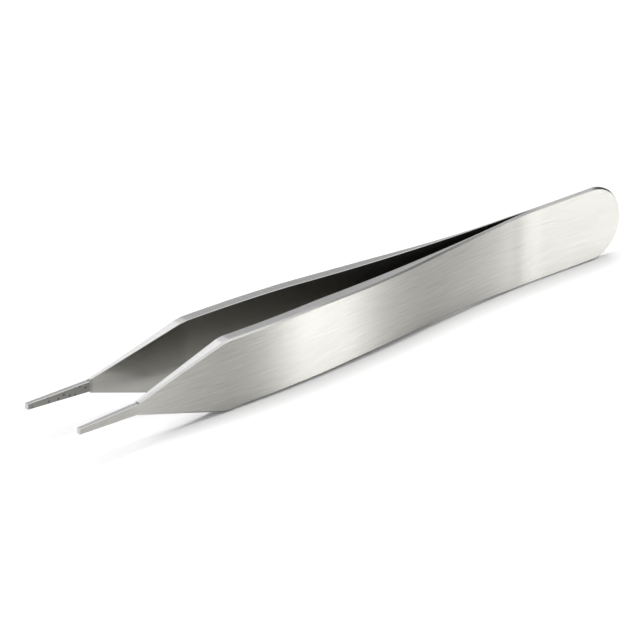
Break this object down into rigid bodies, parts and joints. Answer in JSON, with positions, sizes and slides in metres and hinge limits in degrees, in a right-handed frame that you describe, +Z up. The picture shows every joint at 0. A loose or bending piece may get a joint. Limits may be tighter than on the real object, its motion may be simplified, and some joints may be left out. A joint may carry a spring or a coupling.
{
  "type": "bending tweezers",
  "caption": "Broad-armed spring tweezers for forming leads: hollow-ground steel arms with stepped square noses, welded flat together over a rounded butt.",
  "frame": {"origin": "middle of the bounding box at its lowest level, on the surface that the pair lies on", "axes": "+X along the tweezers from the tips to the butt, +Y across the gap from the right arm to the left arm, +Z up, square to the surface that the long edges rest on"},
  "size_m": [0.12, 0.0132, 0.0127],
  "materials": {
    "arm_steel": "stainless steel with a fine brushed grain along the arms"
  },
  "bodies": {
    "root": {"right_arm": "arm_steel", "left_arm": "arm_steel"}
  },
  "joints": []
}
